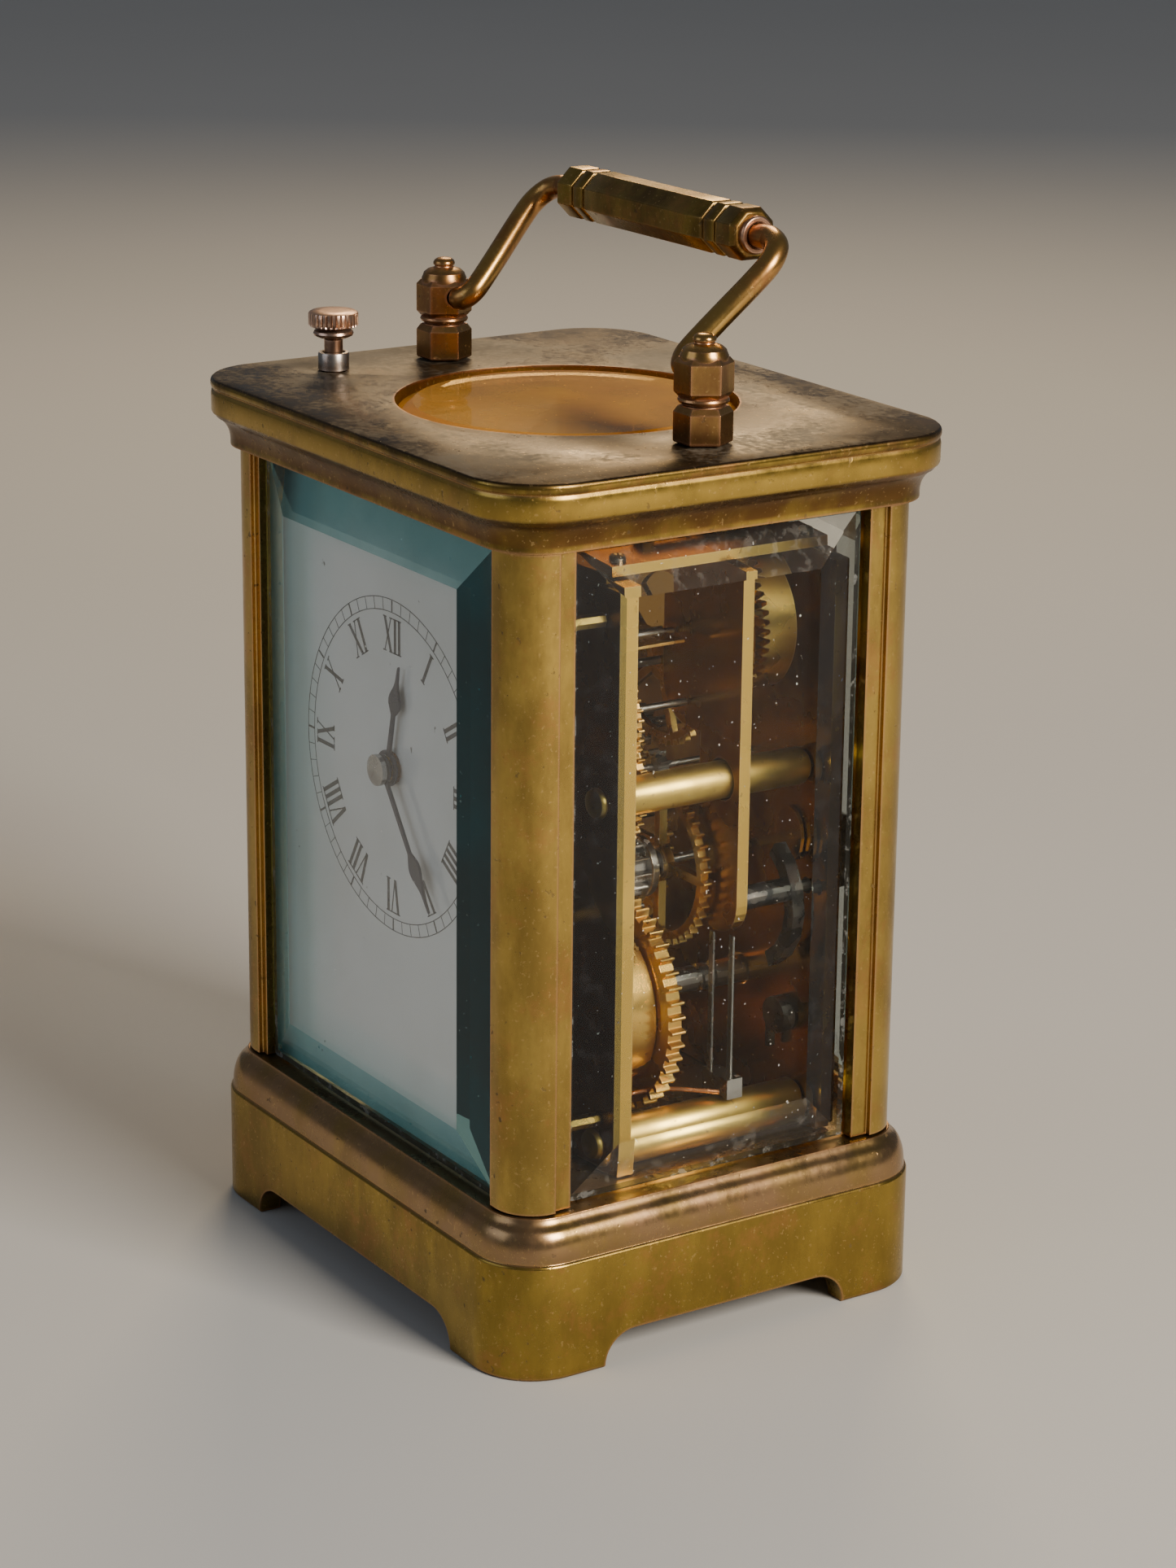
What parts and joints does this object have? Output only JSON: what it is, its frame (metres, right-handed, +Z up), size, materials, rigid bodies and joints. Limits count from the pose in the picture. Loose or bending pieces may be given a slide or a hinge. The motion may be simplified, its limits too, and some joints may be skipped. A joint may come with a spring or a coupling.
{
  "type": "mantel clock",
  "caption": "Brass carriage clock with bevelled glass sides showing the movement, folding handle, repeat button, rear door and enamel dial.",
  "frame": {"origin": "under the middle of the base, on the surface that the four feet stand on", "axes": "+Z up, -Y towards the viewer of the dial, +X to the viewer's right where the strike train shows"},
  "size_m": [0.0994, 0.082, 0.1719],
  "materials": {
    "case_brass": "aged, golden olive with brown tarnish and pink copper wear",
    "clear_glass": "polished, wide ground bevel",
    "white_enamel": "glazed white with black hour numerals",
    "gilt_brass": "smooth with light spots",
    "wheel_brass": "machined",
    "polished_steel": "polished",
    "blued_steel": "heat blued"
  },
  "bodies": {
    "case": {"base_plinth": "case_brass", "corner_post_front_right": "case_brass", "corner_post_front_left": "case_brass", "corner_post_back_right": "case_brass", "corner_post_back_left": "case_brass", "top_frame": "case_brass", "handle_post_left": "case_brass", "handle_post_right": "case_brass", "button_tube": "case_brass", "front_glass": "clear_glass", "right_glass": "clear_glass", "left_glass": "clear_glass", "top_glass": "clear_glass", "dial": "white_enamel", "dial_back_plate": "gilt_brass", "front_movement_plate": "gilt_brass", "back_movement_plate": "gilt_brass", "movement_bridge": "gilt_brass", "pillar_lower_left": "gilt_brass", "pillar_upper_left": "gilt_brass", "pillar_lower_right": "gilt_brass", "pillar_upper_right": "gilt_brass", "escapement_platform": "gilt_brass", "balance_cock": "gilt_brass", "escapement_bridge": "gilt_brass", "oval_seal": "gilt_brass", "strike_click": "polished_steel", "hammer_springs": "blued_steel", "gong_coil": "blued_steel"},
    "back_door": {"back_door_frame": "case_brass", "back_door_glass": "clear_glass", "back_door_knob": "case_brass"},
    "handle": {"handle_bail": "case_brass", "handle_grip": "case_brass"},
    "repeat_button": {"repeat_button": "case_brass"},
    "repeat_lever": {"repeat_lever": "polished_steel"},
    "strike_rack": {"strike_rack": "polished_steel"},
    "minute_hand": {"minute_hand": "blued_steel", "cannon_pinion": "polished_steel"},
    "minute_wheel": {"minute_wheel": "wheel_brass"},
    "hour_hand": {"hour_hand": "blued_steel", "hour_wheel_and_snail": "wheel_brass"},
    "centre_wheel": {"centre_wheel": "wheel_brass"},
    "going_barrel": {"going_barrel": "wheel_brass"},
    "intermediate_wheel": {"intermediate_wheel": "wheel_brass"},
    "third_wheel": {"third_wheel": "wheel_brass"},
    "contrate_wheel": {"contrate_wheel": "wheel_brass"},
    "escape_wheel": {"escape_wheel": "wheel_brass"},
    "pallet_lever": {"pallet_lever": "polished_steel"},
    "balance_wheel": {"balance_wheel": "wheel_brass"},
    "going_winding_arbor": {"going_winding_arbor": "polished_steel"},
    "strike_winding_arbor": {"strike_winding_arbor": "polished_steel"},
    "strike_pin_wheel": {"strike_pin_wheel": "wheel_brass"},
    "strike_barrel": {"strike_barrel": "wheel_brass"},
    "strike_gathering_wheel": {"strike_gathering_wheel": "wheel_brass"},
    "strike_warning_wheel": {"strike_warning_wheel": "wheel_brass"},
    "strike_fly": {"strike_fly": "wheel_brass"},
    "hammer": {"hammer": "polished_steel"}
  },
  "joints": [
    {"name": "door_swing", "type": "hinge", "parent": "case", "child": "back_door", "pos_m": [-0.0343, 0.0354, 0.077], "axis": [0, 0, 1], "range_deg": [0, 105]},
    {"name": "handle_fold", "type": "hinge", "parent": "case", "child": "handle", "pos_m": [0, 0, 0.1506], "axis": [1, 0, 0], "range_deg": [-30, 120]},
    {"name": "repeat_press", "type": "slide", "parent": "case", "child": "repeat_button", "axis": [0, 0, -1], "range_m": [0, 0.002], "stiffness_N_per_m": 400},
    {"name": "repeat_lever_tilt", "type": "hinge", "parent": "case", "child": "repeat_lever", "pos_m": [-0.019, 0, 0.122], "axis": [0, 1, 0], "range_deg": [-6.2, 0]},
    {"name": "rack_fall", "type": "hinge", "parent": "case", "child": "strike_rack", "pos_m": [0.019, 0, 0.063], "axis": [0, 1, 0], "range_deg": [0, 10]},
    {"name": "minute_hand_turn", "type": "hinge", "parent": "case", "child": "minute_hand", "pos_m": [0, 0, 0.085], "axis": [0, 1, 0], "continuous": true},
    {"name": "minute_wheel_turn", "type": "hinge", "parent": "case", "child": "minute_wheel", "pos_m": [-0.00707, 0, 0.09207], "axis": [0, 1, 0], "continuous": true},
    {"name": "hour_hand_turn", "type": "hinge", "parent": "case", "child": "hour_hand", "pos_m": [0, 0, 0.085], "axis": [0, 1, 0], "continuous": true},
    {"name": "centre_wheel_turn", "type": "hinge", "parent": "case", "child": "centre_wheel", "pos_m": [0, 0, 0.085], "axis": [0, 1, 0], "continuous": true},
    {"name": "going_barrel_turn", "type": "hinge", "parent": "case", "child": "going_barrel", "pos_m": [-0.015, 0, 0.046], "axis": [0, 1, 0], "continuous": true},
    {"name": "intermediate_wheel_turn", "type": "hinge", "parent": "case", "child": "intermediate_wheel", "pos_m": [-0.00943, 0, 0.06639], "axis": [0, 1, 0], "continuous": true},
    {"name": "third_wheel_turn", "type": "hinge", "parent": "case", "child": "third_wheel", "pos_m": [0.00901, 0, 0.09846], "axis": [0, 1, 0], "continuous": true},
    {"name": "contrate_wheel_turn", "type": "hinge", "parent": "case", "child": "contrate_wheel", "pos_m": [0.0215, 0, 0.1073], "axis": [0, 1, 0], "continuous": true},
    {"name": "escape_wheel_turn", "type": "hinge", "parent": "case", "child": "escape_wheel", "pos_m": [0.0215, 0.0136, 0.122], "axis": [0, 0, 1], "continuous": true},
    {"name": "pallet_lever_rock", "type": "hinge", "parent": "case", "child": "pallet_lever", "pos_m": [0.01541, 0.00905, 0.122], "axis": [0, 0, 1], "range_deg": [-5, 5]},
    {"name": "balance_swing", "type": "hinge", "parent": "case", "child": "balance_wheel", "pos_m": [0.0076, 0.0032, 0.125], "axis": [0, 0, 1], "range_deg": [-270, 270], "stiffness_Nm_per_rad": 0.000004},
    {"name": "going_winding_turn", "type": "hinge", "parent": "case", "child": "going_winding_arbor", "pos_m": [-0.015, 0, 0.046], "axis": [0, 1, 0], "continuous": true},
    {"name": "strike_winding_turn", "type": "hinge", "parent": "case", "child": "strike_winding_arbor", "pos_m": [0.015, 0, 0.046], "axis": [0, 1, 0], "continuous": true},
    {"name": "strike_pin_wheel_turn", "type": "hinge", "parent": "case", "child": "strike_pin_wheel", "pos_m": [0.01731, 0, 0.068], "axis": [0, 1, 0], "continuous": true},
    {"name": "strike_barrel_turn", "type": "hinge", "parent": "case", "child": "strike_barrel", "pos_m": [0.015, 0, 0.046], "axis": [0, 1, 0], "continuous": true},
    {"name": "strike_gathering_wheel_turn", "type": "hinge", "parent": "case", "child": "strike_gathering_wheel", "pos_m": [0.0161, 0, 0.08346], "axis": [0, 1, 0], "continuous": true},
    {"name": "strike_warning_wheel_turn", "type": "hinge", "parent": "case", "child": "strike_warning_wheel", "pos_m": [0.02144, 0, 0.09518], "axis": [0, 1, 0], "continuous": true},
    {"name": "strike_fly_turn", "type": "hinge", "parent": "case", "child": "strike_fly", "pos_m": [0.01758, 0, 0.10577], "axis": [0, 1, 0], "continuous": true},
    {"name": "hammer_lift", "type": "hinge", "parent": "case", "child": "hammer", "pos_m": [0.0326, 0, 0.0654], "axis": [0, 1, 0], "range_deg": [-2, 8]}
  ],
  "couplings": [
    {"joint": "repeat_lever_tilt", "follows": "repeat_press", "rad_per_m": -54.105},
    {"joint": "minute_wheel_turn", "follows": "minute_hand_turn", "ratio": -0.33333},
    {"joint": "hour_hand_turn", "follows": "minute_hand_turn", "ratio": 0.083333},
    {"joint": "intermediate_wheel_turn", "follows": "centre_wheel_turn", "ratio": -0.16667},
    {"joint": "going_barrel_turn", "follows": "centre_wheel_turn", "ratio": 0.027778},
    {"joint": "third_wheel_turn", "follows": "centre_wheel_turn", "ratio": -8},
    {"joint": "contrate_wheel_turn", "follows": "centre_wheel_turn", "ratio": 60},
    {"joint": "escape_wheel_turn", "follows": "centre_wheel_turn", "ratio": -480},
    {"joint": "strike_barrel_turn", "follows": "strike_pin_wheel_turn", "ratio": -0.22917},
    {"joint": "strike_gathering_wheel_turn", "follows": "strike_pin_wheel_turn", "ratio": -5.25},
    {"joint": "strike_warning_wheel_turn", "follows": "strike_pin_wheel_turn", "ratio": 35},
    {"joint": "strike_fly_turn", "follows": "strike_pin_wheel_turn", "ratio": -233.33}
  ]
}
